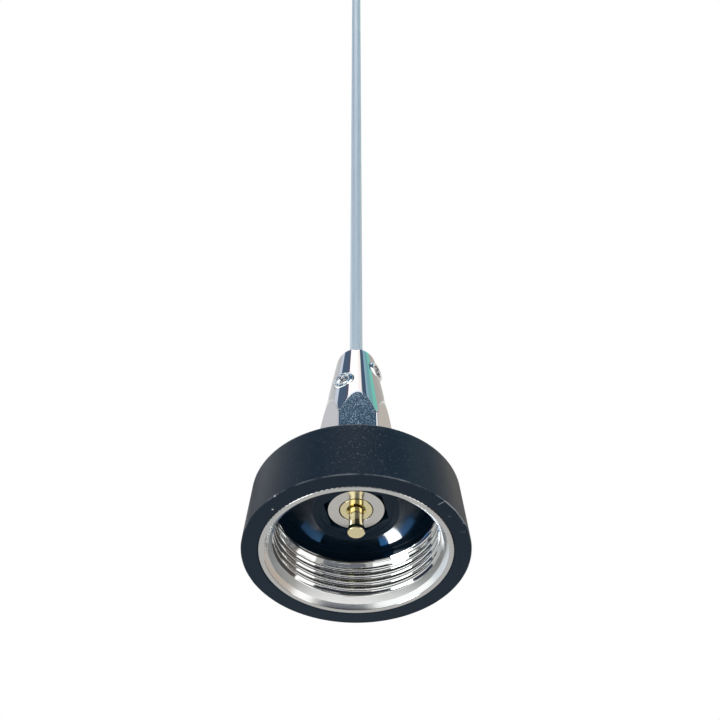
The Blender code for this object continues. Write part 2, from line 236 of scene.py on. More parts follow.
def skin(name, *strips, seam_shift=0):
    """Mesh object from strips, which are grids of points that wrap round in columns.

    Where seam_shift isn't 0, the last column of the first strip meets the first column
    that many rows further on, as a helix does. Points that meet are merged.
    """
    points, faces, count = [], [], 0
    for number, grid in enumerate(strips):
        rows, columns = grid.shape[:2]
        index = count + np.arange(rows * columns).reshape(rows, columns)
        beside = np.roll(index, -1, axis=1)
        if number == 0 and seam_shift:
            beside[:, -1] = index[np.minimum(np.arange(rows) + seam_shift, rows - 1), 0]
        quads = np.stack([index[:-1], beside[:-1], beside[1:], index[1:]], axis=-1)
        points.append(grid.reshape(-1, 3))
        faces.append(quads.reshape(-1, 4))
        count += rows * columns
    mesh = bpy.data.meshes.new(name)
    mesh.from_pydata(np.concatenate(points), [], np.concatenate(faces))
    shell = bmesh.new()
    shell.from_mesh(mesh)
    bmesh.ops.remove_doubles(shell, verts=shell.verts, dist=MERGE_DISTANCE)
    bmesh.ops.dissolve_degenerate(shell, edges=shell.edges, dist=SLIVER_LENGTH)
    bmesh.ops.recalc_face_normals(shell, faces=shell.faces)
    shell.to_mesh(mesh)
    shell.free()
    mesh.shade_smooth()
    mesh.set_sharp_from_angle(angle=SHARP_ANGLE)
    obj = bpy.data.objects.new(name, mesh)
    scene.collection.objects.link(obj)
    return obj


def fitted(obj, finish, node, body="antenna"):
    """Give a piece its finish and its place on a body, instead of a CAD node."""
    obj.data.materials.append(finish.material)
    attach(obj, body)
    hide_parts(node)


def thread_depth_share(phase):
    """Depth of the thread from crest, 0, to root, 1, at a phase in pitches from a crest.

    It is the ramp clip((p - crest) / flank, 0, 1) averaged over a short stretch on both
    sides, (F(p + w) - F(p - w)) / 2w, which rounds its corners as wear does.
    """
    def ramp_sum(p):
        climbing = np.clip(p - CREST_SHARE, 0.0, FLANK_SHARE)
        return climbing**2 / (2.0 * FLANK_SHARE) + np.maximum(p - CREST_SHARE - FLANK_SHARE, 0.0)

    distance = np.abs((phase + 0.5) % 1.0 - 0.5)
    return (ramp_sum(distance + CREST_WEAR) - ramp_sum(distance - CREST_WEAR)) / (2.0 * CREST_WEAR)


def bore_radius(z):
    """Radius of the plain bore: the tapered lead-in, the bore and the relief at its end.

    The relief is cut back at the flank's 60 degrees and runs out in a shallow cone.
    """
    lead_share = np.clip((z - RING_MOUTH_CHAMFER) / RING_LEAD_LENGTH, 0.0, 1.0)
    lead_start = RING_RADIUS - RING_FACE_WIDTH - RING_MOUTH_CHAMFER
    lead = lead_start + (THREAD_MINOR_RADIUS - lead_start) * lead_share
    run_out = (RING_HEIGHT - z) * RING_RELIEF_SLOPE
    cut_back = (z - RING_HEIGHT + RING_RELIEF_DEPTH / RING_RELIEF_SLOPE) * math.sqrt(3.0)
    relief = np.minimum(run_out, RING_RELIEF_DEPTH + np.minimum(cut_back, 0.0))
    return np.maximum(lead, THREAD_MINOR_RADIUS + relief)


def ring_thread(columns):
    """Grid of the bore from the mouth's chamfer to the ring's end.

    Rows follow the helix z = crest + pitch (turn + share + a / 2 pi), held between the
    bore's ends, and the radius is the larger of the plain bore's and the thread's. The
    thread deepens from nothing between its start and its full height. The first rows lie
    some turns below the crest, so that the held part covers the mouth all round.
    """
    share = np.arange(0.0, 1.0, 1.0 / ROWS_PER_TURN)
    turns = np.arange(-TURNS_BELOW_CREST, math.ceil(RING_HEIGHT / THREAD_PITCH))
    steps = (turns[:, None] + share).reshape(-1, 1)
    angle = np.linspace(0.0, 2.0 * np.pi, columns, endpoint=False)
    crest = FIRST_CREST - THREAD_PITCH / 4.0
    z = crest + THREAD_PITCH * (steps + angle / (2.0 * np.pi))
    z = np.clip(z, RING_MOUTH_CHAMFER, RING_HEIGHT)
    phase = (z - crest) / THREAD_PITCH - angle / (2.0 * np.pi)
    growth = np.clip((z - THREAD_START) / (THREAD_FULL - THREAD_START), 0.0, 1.0)
    depth = (THREAD_MAJOR_RADIUS - THREAD_MINOR_RADIUS) * growth
    threaded = THREAD_MINOR_RADIUS + depth * thread_depth_share(phase)
    radius = np.maximum(threaded, bore_radius(z))
    return np.stack([radius * np.cos(angle), radius * np.sin(angle), z], axis=-1)


ring_columns = KNURL_TEETH * COLUMNS_PER_TOOTH
thread_grid = ring_thread(ring_columns)
ring_outline = np.array(
    [
        (RING_RADIUS - RING_FACE_WIDTH - RING_MOUTH_CHAMFER, RING_MOUTH_CHAMFER, 0.0),
        (RING_RADIUS - RING_FACE_WIDTH, 0.0, 0.0),
        (RING_RADIUS - KNURL_DEPTH, 0.0, 0.0),
        (RING_RADIUS, KNURL_DEPTH, 1.0),
        (RING_RADIUS, RING_HEIGHT - RING_END_CHAMFER, 1.0),
        (RING_RADIUS - RING_END_CHAMFER, RING_HEIGHT, 0.0),
        (THREAD_MINOR_RADIUS, RING_HEIGHT, 0.0),
    ]
)
knurl_phase = np.arange(ring_columns) / COLUMNS_PER_TOOTH
knurl = 1.0 - KNURL_DEPTH / RING_RADIUS * np.abs(2.0 * (knurl_phase % 1.0) - 1.0)
ring_grid = turned(eased(ring_outline, RING_EDGE, closed=False), ring_columns, 0.0, knurl)
thread_ring = skin("nickel_thread_ring", thread_grid, ring_grid, seam_shift=ROWS_PER_TURN)
bright_nickel = Finish("bright_nickel", Base_Color=NICKEL_COLOR, Metallic=1.0)
ring_marks = turning_marks(bright_nickel)
on_lead = (bright_nickel.z > RING_MOUTH_CHAMFER) * (bright_nickel.z < THREAD_FULL)
on_chamfer = (bright_nickel.z > RING_FACE_BAND) * (bright_nickel.z < RING_MOUTH_CHAMFER)
bright_nickel.drive("Roughness", ring_marks * 0.08 + on_lead * 0.26 + on_chamfer * 0.17 + 0.03)
bright_nickel.bump(ring_marks, 0.0012 * MM)
fitted(thread_ring, bright_nickel, "thread_ring")

# Housing
# One moulding in black engineering plastic. Outside it is satin, inside as glossy as
# its mould, and its cavity has a cone, a boss and a hexagon pocket for the stud's head.
housing_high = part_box("housing")[1]
RIM_RADIUS = housing_high.x
SEAT_HEIGHT = housing_high.z
SEAT_GAP = 0.15 * MM
SLIDE_GAP = 0.10 * MM
PRESS_GAP = 0.02 * MM
SHOULDER_DRAFT = 1.07 * MM
SHOULDER_EASE = 0.45 * MM
CAVITY_RADIUS = 14.60 * MM
CAVITY_HEIGHT = 12.00 * MM
CONE_RADIUS = 12.80 * MM
CONE_EDGE_DROP = 0.45 * MM
BOSS_RADIUS = 7.36 * MM
BOSS_HEIGHT = 8.94 * MM
BOSS_RIDGE_RADIUS = 6.21 * MM
BOSS_RIDGE_STEP = 0.15 * MM
POCKET_APOTHEM = 4.9425 * MM
POCKET_TOP = 12.85 * MM
HEAD_TURN = math.radians(17.0)
STUD_RADIUS = 3.97 * MM
TOP_SLOPE = math.radians(25.0)
TOP_SEAT_RADIUS = 8.00 * MM
SEAT_EDGE = 0.15 * MM
HOUSING_EDGE = 0.12 * MM
RIM_BAND = 0.20 * MM
RUB_WIDTH = 0.13 * MM
CAVITY_MARGIN = 0.10 * MM
GLINT_BAND_HALF_WIDTH = 9.0 * MM
HOUSING_COLUMNS = 360


def hexagon(columns):
    """Distance to a hexagon's side at each column, over its apothem: 1 / cos(b - 30 degrees)."""
    angle = np.linspace(0.0, 2.0 * np.pi, columns, endpoint=False)
    return 1.0 / np.cos(angle % (np.pi / 3.0) - np.pi / 6.0)


shoulder_radius = RIM_RADIUS - SHOULDER_DRAFT
shoulder_height = SEAT_HEIGHT - (shoulder_radius - TOP_SEAT_RADIUS) * math.tan(TOP_SLOPE)
stud_hole = STUD_RADIUS + SLIDE_GAP
pocket_radius = RING_RADIUS + PRESS_GAP
pocket_height = RING_HEIGHT + SEAT_GAP
housing_outline = np.concatenate(
    [
        eased([(stud_hole, SEAT_HEIGHT, 0), (TOP_SEAT_RADIUS, SEAT_HEIGHT, 0),
               (shoulder_radius, shoulder_height, 0)], SEAT_EDGE, closed=False)[:-1],
        eased([(TOP_SEAT_RADIUS, SEAT_HEIGHT, 0), (shoulder_radius, shoulder_height, 0),
               (RIM_RADIUS, 0, 0)], SHOULDER_EASE, closed=False, steps=6)[1:-1],
        eased([(shoulder_radius, shoulder_height, 0), (RIM_RADIUS, 0, 0), (pocket_radius, 0, 0),
               (pocket_radius, pocket_height, 0), (CAVITY_RADIUS, pocket_height, 0),
               (CAVITY_RADIUS, CAVITY_HEIGHT, 0), (CONE_RADIUS, CAVITY_HEIGHT, 0),
               (CONE_RADIUS, CAVITY_HEIGHT - CONE_EDGE_DROP, 0), (BOSS_RADIUS, BOSS_HEIGHT, 0),
               (BOSS_RIDGE_RADIUS, BOSS_HEIGHT, 0),
               (BOSS_RIDGE_RADIUS, BOSS_HEIGHT + BOSS_RIDGE_STEP, 0),
               (POCKET_APOTHEM, BOSS_HEIGHT + BOSS_RIDGE_STEP, 1), (POCKET_APOTHEM, POCKET_TOP, 1),
               (stud_hole, POCKET_TOP, 0), (stud_hole, SEAT_HEIGHT, 0)], HOUSING_EDGE, closed=False)[1:],
    ]
)
housing_grid = turned(housing_outline, HOUSING_COLUMNS, HEAD_TURN, hexagon(HOUSING_COLUMNS))
housing = skin("moulded_housing", housing_grid)
BLACK = (0.006, 0.021, 0.042)
SCUFF_AND_GLINT = (0.75, 0.80, 0.86)
# Each mark on the rim: its two ends, how far it reaches from their line, and its strength
RIM_MARKS = (
    ((12.80, -11.91), (13.78, -12.68), 0.08, 0.40),
    ((13.78, -12.68), (15.60, -10.35), 0.07, 0.40),
    ((15.60, -10.35), (17.30, -7.15), 0.07, 0.34),
    ((14.50, -9.17), (14.82, -9.03), 0.07, 0.16),
    ((16.60, -5.40), (17.40, -5.36), 0.06, 0.14),
    ((16.82, -7.55), (16.92, -7.50), 0.09, 0.25),
    ((-13.08, -10.77), (-13.02, -10.73), 0.13, 0.95),
    ((-12.62, -13.75), (-12.50, -13.85), 0.12, 0.80),
)


def scratch(finish, start, end, width):
    """Mask of a scratch on the rim, 1 nearer than its width to a line, all in millimetres.

    The nearest point of the line from a to b to the point p is a + t (b - a), where
    t is (p - a) . (b - a) / |b - a|^2, held between 0 and 1.
    """
    run_x, run_y = end[0] - start[0], end[1] - start[1]
    off_x = finish.x / MM - start[0]
    off_y = finish.y / MM - start[1]
    share = (off_x * run_x + off_y * run_y) / (run_x**2 + run_y**2)
    share = share.math("MAXIMUM", 0.0).math("MINIMUM", 1.0)
    miss_x = off_x - share * run_x
    miss_y = off_y - share * run_y
    return (miss_x * miss_x + miss_y * miss_y) ** 0.5 < width


black_moulding = Finish("black_moulding", Specular_IOR_Level=0.15, Coat_Roughness=0.25)
from_axis = (black_moulding.x * black_moulding.x + black_moulding.y * black_moulding.y) ** 0.5
above_cavity = black_moulding.z > CAVITY_HEIGHT + CAVITY_MARGIN
outside = (from_axis > pocket_radius).math("MAXIMUM", above_cavity)
in_cone = (from_axis > BOSS_RADIUS) * (from_axis < CONE_RADIUS) * (1.0 - above_cavity)
speckle = black_moulding.noise(black_moulding.place, 4200.0, 3.0, 0.7)
black_moulding.drive("Roughness", outside * (0.08 + speckle * 0.16) + 0.22)
black_moulding.bump(speckle * outside, 0.034 * MM)
black_moulding.drive("Coat Weight", in_cone)
on_rim = black_moulding.z < RIM_BAND
rub = black_moulding.noise(black_moulding.place, 300.0, 3.0) - 0.40
wear_and_glints = (from_axis > RIM_RADIUS - RUB_WIDTH) * rub.math("MAXIMUM", 0.0)
for mark_start, mark_end, mark_width, mark_share in RIM_MARKS:
    mark = scratch(black_moulding, mark_start, mark_end, mark_width) * mark_share
    wear_and_glints = mark.math("MAXIMUM", wear_and_glints)
# Light specks lie thinly over the whole outside as dust, and thickest in a band near x = 0, where the lamp's
# reflection falls on the side: that band is painted glints.
off_middle = black_moulding.x.math("ABSOLUTE") / GLINT_BAND_HALF_WIDTH
dust_and_glint_weight = (1.0 - off_middle).math("MAXIMUM", 0.3) * (1.0 - on_rim)
dust_and_glints = (black_moulding.noise(black_moulding.place, 2800.0, 2.0) - 0.60).math("MAXIMUM", 0.0) * dust_and_glint_weight
# The rim's scratches and rubbed edge are wear; the specks above the rim are dust and painted glints.
wear_and_glints = (wear_and_glints * on_rim).math("MAXIMUM", dust_and_glints * outside)
black_moulding.drive("Base Color", black_moulding.blend(wear_and_glints, BLACK, SCUFF_AND_GLINT))
fitted(housing, black_moulding, "housing")

# Contact stud
# Turned from hexagon bar and nickel plated. Its chamfered head sits in the housing's
# pocket, its faced end carries the gold contact, and its shank screws into the ferrule.
stud_low, stud_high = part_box("contact_stud")
HEAD_FACE = stud_low.z
STUD_TOP = stud_high.z
HEAD_APOTHEM = 4.7625 * MM
HEAD_FACE_RADIUS = 4.7425 * MM
HEAD_THICKNESS = 3.40 * MM
HEAD_CHAMFER_ANGLE = math.radians(58.0)
STUD_CHAMFER = 0.50 * MM
STUD_BORE_EDGE = 0.06 * MM
STUD_EDGE = 0.08 * MM
HEAD_BAND = 0.50 * MM
STUD_COLUMNS = 240
barrel_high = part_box("contact_barrel")[1]
FLANGE_RADIUS = barrel_high.x
BARREL_TOP = barrel_high.z
BARREL_RADIUS = 2.35 * MM
FLANGE_THICKNESS = 1.00 * MM


def stud_head(columns, rows=16):
    """Grid of the head's chamfer: the smaller of a cone's radius and the hexagon's."""
    corner = HEAD_APOTHEM / math.cos(math.pi / 6.0)
    rise = np.linspace(0.0, (corner - HEAD_FACE_RADIUS) * math.tan(HEAD_CHAMFER_ANGLE), rows)[:, None]
    angle = HEAD_TURN + np.linspace(0.0, 2.0 * np.pi, columns, endpoint=False)
    cone = HEAD_FACE_RADIUS + rise / math.tan(HEAD_CHAMFER_ANGLE)
    radius = np.minimum(cone, HEAD_APOTHEM * hexagon(columns))
    height = np.broadcast_to(HEAD_FACE + rise, radius.shape)
    return np.stack([radius * np.cos(angle), radius * np.sin(angle), height], axis=-1)


head_top = HEAD_FACE + HEAD_THICKNESS
flange_bore = FLANGE_RADIUS + SEAT_GAP
flange_floor = HEAD_FACE + FLANGE_THICKNESS + SEAT_GAP
barrel_bore = BARREL_RADIUS + SEAT_GAP
bore_end = BARREL_TOP + SEAT_GAP
stud_bore = eased(
    [(0, bore_end), (barrel_bore, bore_end), (barrel_bore, flange_floor), (flange_bore, flange_floor),
     (flange_bore, HEAD_FACE), (HEAD_FACE_RADIUS, HEAD_FACE)], STUD_BORE_EDGE, closed=False)
stud_shank = eased(
    [(HEAD_APOTHEM, head_top - HEAD_BAND, 1), (HEAD_APOTHEM, head_top, 1), (STUD_RADIUS, head_top, 0),
     (STUD_RADIUS, STUD_TOP - STUD_CHAMFER, 0), (STUD_RADIUS - STUD_CHAMFER, STUD_TOP, 0),
     (0, STUD_TOP, 0)], STUD_EDGE, closed=False)
stud_grid = np.concatenate(
    [
        turned(stud_bore, STUD_COLUMNS, HEAD_TURN),
        stud_head(STUD_COLUMNS),
        turned(stud_shank, STUD_COLUMNS, HEAD_TURN, hexagon(STUD_COLUMNS)),
    ]
)
contact_stud = skin("hex_head_stud", stud_grid)
faced_nickel = Finish("faced_nickel", Base_Color=(0.70, 0.68, 0.65), Metallic=1.0)
face_marks = turning_marks(faced_nickel, 5000.0, 3.0)
faced_nickel.drive("Roughness", face_marks * 0.14 + 0.07)
faced_nickel.bump(face_marks, 0.0012 * MM)
fitted(contact_stud, faced_nickel, "contact_stud")

# Contact barrel
# A gold-plated brass tube with a flange, pressed into the stud. Its lip keeps the
# plunger in, and the closed end behind it backs the coil spring.
BARREL_BORE_RADIUS = 1.95 * MM
BARREL_LIP_THICKNESS = 0.80 * MM
BARREL_END_THICKNESS = 0.50 * MM
MOUTH_RADIUS = 1.60 * MM
BARREL_EDGE = 0.06 * MM
SMALL_COLUMNS = 160
GOLD_COLOR = (0.90, 0.80, 0.49)
lip_top = HEAD_FACE + BARREL_LIP_THICKNESS
flange_top = HEAD_FACE + FLANGE_THICKNESS
barrel_outline = eased(
    [(0, BARREL_TOP), (BARREL_RADIUS, BARREL_TOP), (BARREL_RADIUS, flange_top),
     (FLANGE_RADIUS, flange_top), (FLANGE_RADIUS, HEAD_FACE), (MOUTH_RADIUS, HEAD_FACE),
     (MOUTH_RADIUS, lip_top), (BARREL_BORE_RADIUS, lip_top),
     (BARREL_BORE_RADIUS, BARREL_TOP - BARREL_END_THICKNESS), (0, BARREL_TOP - BARREL_END_THICKNESS)],
    BARREL_EDGE, closed=False)
contact_barrel = skin("gold_contact_barrel", turned(barrel_outline, SMALL_COLUMNS))
gold_plate = Finish("gold_plate", Base_Color=GOLD_COLOR, Metallic=1.0)
gold_marks = turning_marks(gold_plate, 7000.0, 4.0)
gold_plate.drive("Roughness", gold_marks * 0.12 + 0.06)
gold_plate.bump(gold_marks, 0.001 * MM)
fitted(contact_barrel, gold_plate, "contact_barrel")

# Contact plunger
# A gold-plated pin that slides in the barrel. Its flared flat tip meets the roof
# mount's centre contact, and the collar behind the lip carries the spring's pilot.
plunger_low, plunger_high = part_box("contact_plunger")
TIP_HEIGHT = plunger_low.z
COLLAR_RADIUS = plunger_high.x
PILOT_TOP = plunger_high.z
TIP_RADIUS = 1.46 * MM
TIP_LENGTH = 0.78 * MM
FLARE_LENGTH = 1.21 * MM
NECK_RADIUS = 1.25 * MM
COLLAR_LENGTH = 1.50 * MM
PILOT_LENGTH = 0.80 * MM
PILOT_RADIUS = 1.34 * MM
PLUNGER_EDGE = 0.12 * MM
collar_top = PILOT_TOP - PILOT_LENGTH
plunger_outline = eased(
    [(0, PILOT_TOP), (PILOT_RADIUS, PILOT_TOP), (PILOT_RADIUS, collar_top), (COLLAR_RADIUS, collar_top),
     (COLLAR_RADIUS, collar_top - COLLAR_LENGTH), (NECK_RADIUS, collar_top - COLLAR_LENGTH),
     (NECK_RADIUS, TIP_HEIGHT + TIP_LENGTH + FLARE_LENGTH), (TIP_RADIUS, TIP_HEIGHT + TIP_LENGTH),
     (TIP_RADIUS, TIP_HEIGHT), (0, TIP_HEIGHT)], PLUNGER_EDGE, closed=False)
contact_plunger = skin("gold_contact_plunger", turned(plunger_outline, SMALL_COLUMNS))
fitted(contact_plunger, gold_plate, "contact_plunger", "plunger")

# Contact spring
# Plain spring wire, wound with a closed turn at each end. It stands in the barrel
# between the collar and the closed end, and shortens as the plunger moves up.
spring_low, spring_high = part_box("contact_spring")
WIRE_RADIUS = 0.18 * MM
SPRING_TURNS = 8
CLOSED_GAP = 0.06 * MM
WIRE_STEPS = 40
WIRE_COLUMNS = 12


def spring_coil():
    """Grid of the spring's wire, from end to end.

    The wire's middle is (r cos t, r sin t, z), and a point of its skin lies out from it by
    w cos b and up from it by w sin b. The height z climbs slowly in the closed end turns
    and evenly between them. Both ends of the wire close to a point.
    """
    turn = np.linspace(0.0, SPRING_TURNS, SPRING_TURNS * WIRE_STEPS + 1)
    turn = np.concatenate([turn[:1], turn, turn[-1:]])[:, None]
    closed = 2.0 * WIRE_RADIUS + CLOSED_GAP
    low = spring_low.z + WIRE_RADIUS
    high = spring_high.z - WIRE_RADIUS
    turns = [0.0, 1.0, SPRING_TURNS - 1.0, SPRING_TURNS]
    middle = np.interp(turn, turns, [low, low + closed, high - closed, high])
    wire = np.full(turn.shape, WIRE_RADIUS)
    wire[[0, -1]] = 0.0
    b = np.linspace(0.0, 2.0 * np.pi, WIRE_COLUMNS, endpoint=False)
    radius = spring_high.x - WIRE_RADIUS + wire * np.cos(b)
    angle = 2.0 * np.pi * turn
    return np.stack([radius * np.cos(angle), radius * np.sin(angle), middle + wire * np.sin(b)], axis=-1)


contact_spring = skin("wound_contact_spring", spring_coil())
spring_wire = Finish("spring_wire", Base_Color=(0.42, 0.40, 0.37), Metallic=1.0)
spring_wire.drive("Roughness", spring_wire.noise(spring_wire.place, 4000.0) * 0.2 + 0.2)
fitted(contact_spring, spring_wire, "contact_spring")
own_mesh(contact_spring)

# Ferrule gasket
# A flat washer cut from black rubber sheet. It is clamped between the ferrule and the
# housing, and keeps rain out of the stud's hole.
gasket_low, gasket_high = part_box("ferrule_gasket")
GASKET_EDGE = 0.10 * MM
gasket_outline = eased(
    [(stud_hole, gasket_high.z), (gasket_high.x, gasket_high.z), (gasket_high.x, gasket_low.z),
     (stud_hole, gasket_low.z)], GASKET_EDGE)
ferrule_gasket = skin("rubber_gasket", turned(gasket_outline, SMALL_COLUMNS))
gasket_rubber = Finish("gasket_rubber", Base_Color=(0.012, 0.012, 0.013), Roughness=0.7)
gasket_rubber.bump(gasket_rubber.noise(gasket_rubber.place, 3000.0, 4.0), 0.02 * MM)
fitted(ferrule_gasket, gasket_rubber, "ferrule_gasket")

# Whip ferrule
# Turned from brass hexagon bar: six flats below, a cone with a rounded nose above, then
# polished and chrome plated. The whip stands in its bore, and two screws cross it.
ferrule_low, ferrule_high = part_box("whip_ferrule")
whip_low, whip_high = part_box("whip")
FERRULE_BOTTOM = ferrule_low.z
FERRULE_TOP = ferrule_high.z
FERRULE_APOTHEM = 5.85 * MM
FERRULE_TURN = math.radians(3.4)
FERRULE_CHAMFER = 0.45 * MM
FERRULE_EDGE_WEAR = 0.045 * MM
FERRULE_CORNER_WEAR = 0.12 * MM
WHIP_HOLE_EDGE = 0.05 * MM
STUD_SOCKET_EDGE = 0.10 * MM
FLAT_TOLERANCE = 0.02 * MM
FLATS_END_LOW = 23.1 * MM
FLATS_END_HIGH = 33.2 * MM
TAPER_ANGLE = math.radians(8.85)
NOSE_RADIUS = 3.78 * MM
NOSE_DEPTH = 2.50 * MM
NOSE_FLAT_RADIUS = 1.60 * MM
NOSE_START = 0.218
STUD_HOLE_GAP = 0.30 * MM
WHIP_RADIUS = whip_high.x
WHIP_BOTTOM = whip_low.z
SET_SCREW_RADIUS = 2.00 * MM
LOWER_SCREW_ANGLE = math.radians(-28.0)
UPPER_SCREW_ANGLE = math.radians(62.0)
UPPER_SCREW_DROP = 6.25 * MM
SET_SCREW_SPACING = 5.10 * MM
DRILL_LENGTH = 8.0 * MM
DRILL_COLUMNS = 96
FERRULE_COLUMNS = 480


def taper_radius(height):
    """Radius of the ferrule's cone at a height."""
    return NOSE_RADIUS + (FERRULE_TOP - NOSE_DEPTH - height) * math.tan(TAPER_ANGLE)


def turned_radius(height):
    """Radius that the lathe leaves: the cone, the elliptical nose and the bottom chamfer.

    The ellipse starts a little way up its arc, where its slope is the cone's.
    """
    up = np.clip((height - (FERRULE_TOP - NOSE_DEPTH)) / NOSE_DEPTH, 0.0, 1.0)
    arc = np.sqrt((1.0 - (NOSE_START + (1.0 - NOSE_START) * up) ** 2) / (1.0 - NOSE_START**2))
    nose = NOSE_FLAT_RADIUS + (NOSE_RADIUS - NOSE_FLAT_RADIUS) * arc
    corner = FERRULE_APOTHEM / math.cos(math.pi / 6.0)
    chamfer = corner - FERRULE_CHAMFER + (height - FERRULE_BOTTOM)
    return np.where(up > 0.0, nose, np.minimum(taper_radius(height), chamfer))


def ferrule_side(columns):
    """Grid of the ferrule's outside, from its bottom edge up to the nose.

    The radius is a soft minimum of the lathe's a and the hexagon's b, which wears the
    edge between them: (a + b - sqrt((a - b)^2 + w^2)) / 2. The rows stand closest where
    the flats end in the cone.
    """
    nose_base = FERRULE_TOP - NOSE_DEPTH
    heights = np.concatenate(
        [
            np.linspace(FERRULE_BOTTOM, FERRULE_BOTTOM + 1.0 * MM, 12),
            np.linspace(FERRULE_BOTTOM + 1.2 * MM, FLATS_END_LOW - 0.1 * MM, 6),
            np.linspace(FLATS_END_LOW, FLATS_END_HIGH, 110),
            np.linspace(FLATS_END_HIGH + 0.4 * MM, nose_base, 24),
            nose_base + NOSE_DEPTH * np.sin(np.linspace(0.06, np.pi / 2.0, 18)),
        ]
    )[:, None]
    angle = FERRULE_TURN + np.linspace(0.0, 2.0 * np.pi, columns, endpoint=False)
    lathe = turned_radius(heights)
    corner = FERRULE_APOTHEM / math.cos(math.pi / 6.0)
    bar = np.minimum(FERRULE_APOTHEM * hexagon(columns), corner - FERRULE_CORNER_WEAR)
    radius = (lathe + bar - np.sqrt((lathe - bar) ** 2 + FERRULE_EDGE_WEAR**2)) / 2.0
    height = np.broadcast_to(heights, radius.shape)
    return np.stack([radius * np.cos(angle), radius * np.sin(angle), height], axis=-1)


whip_hole = WHIP_RADIUS + SLIDE_GAP
ferrule_inside = eased(
    [(NOSE_FLAT_RADIUS, FERRULE_TOP), (whip_hole, FERRULE_TOP), (whip_hole, WHIP_BOTTOM - SEAT_GAP),
     (0, WHIP_BOTTOM - SEAT_GAP)], WHIP_HOLE_EDGE, closed=False)
stud_socket = eased(
    [(0, STUD_TOP + STUD_HOLE_GAP), (stud_hole, STUD_TOP + STUD_HOLE_GAP), (stud_hole, FERRULE_BOTTOM),
     (FERRULE_APOTHEM - FERRULE_CHAMFER, FERRULE_BOTTOM)], STUD_SOCKET_EDGE, closed=False)
side_grid = ferrule_side(FERRULE_COLUMNS)
top_strip = np.concatenate([side_grid[-1:], turned(ferrule_inside, FERRULE_COLUMNS, FERRULE_TURN)])
bottom_strip = np.concatenate([turned(stud_socket, FERRULE_COLUMNS, FERRULE_TURN), side_grid[:1]])
ferrule = skin("chrome_ferrule", bottom_strip, side_grid, top_strip)


def screw_frame(angle, height):
    """Turns local Z to point outwards from the whip, at an angle from the front."""
    turn = Matrix.Rotation(angle, 4, "Z") @ Matrix.Rotation(math.radians(90.0), 4, "X")
    return Matrix.Translation((0.0, 0.0, height)) @ turn


upper_screw_height = FERRULE_TOP - UPPER_SCREW_DROP
screw_places = (
    ("set_screw_lower", LOWER_SCREW_ANGLE, upper_screw_height - SET_SCREW_SPACING),
    ("set_screw_upper", UPPER_SCREW_ANGLE, upper_screw_height),
)
hole_radius = SET_SCREW_RADIUS + SLIDE_GAP
hole_outline = np.array([(0, 0), (hole_radius, 0), (hole_radius, DRILL_LENGTH), (0, DRILL_LENGTH)])
for screw_name, screw_angle, screw_height in screw_places:
    drill = skin("drill", turned(hole_outline, DRILL_COLUMNS))
    drill.data.transform(screw_frame(screw_angle, screw_height))
    boolean = ferrule.modifiers.new("hole", "BOOLEAN")
    boolean.operation = "DIFFERENCE"
    boolean.solver = "EXACT"
    boolean.object = drill
    drilled = ferrule.evaluated_get(bpy.context.evaluated_depsgraph_get())
    ferrule.data = bpy.data.meshes.new_from_object(drilled)
    ferrule.modifiers.clear()
    bpy.data.objects.remove(drill)
ferrule.data.set_sharp_from_angle(angle=SHARP_ANGLE)
CHROME_COLOR = (0.56, 0.56, 0.57)
PAINTED_DARK_REFLECTION = (0.31, 0.35, 0.38)
GLINT_COLOR = (0.92, 0.94, 0.95)
bright_chrome = Finish("bright_chrome", Metallic=1.0)
reaches = []
for side in range(3):
    facing = FERRULE_TURN + math.radians(30.0 + 60.0 * side)
    reach = bright_chrome.x * math.cos(facing) + bright_chrome.y * math.sin(facing)
    reaches.append(reach.math("ABSOLUTE"))
across = reaches[0].math("MAXIMUM", reaches[1]).math("MAXIMUM", reaches[2])
on_flat = across > FERRULE_APOTHEM - FLAT_TOLERANCE
# The flat that faces the front gets its own base colour: dark, a painted reflection of the dark room in
# front, speckled with painted glints.
front_flat = (reaches[1] > FERRULE_APOTHEM - FLAT_TOLERANCE) * (bright_chrome.y < 0.0)
grain = bright_chrome.noise(bright_chrome.place, 4000.0, 3.0, 0.7)
drawn = bright_chrome.stretched_noise(5000.0, 400.0, 3.0)
bright_chrome.drive("Roughness", on_flat * (grain * 0.2 + 0.10) + 0.03)
bright_chrome.bump((grain + drawn) * (on_flat * 0.3 + front_flat * 0.7), 0.02 * MM)
glint_noise = bright_chrome.stretched_noise(3700.0, 2700.0, 2.0, 0.6)
glints = ((glint_noise - 0.5) * 10.0).math("MAXIMUM", 0.0).math("MINIMUM", 1.0)
painted_flat_reflection = bright_chrome.blend(glints, PAINTED_DARK_REFLECTION, GLINT_COLOR)
bright_chrome.drive("Base Color", bright_chrome.blend(front_flat, CHROME_COLOR, painted_flat_reflection))
fitted(ferrule, bright_chrome, "whip_ferrule")

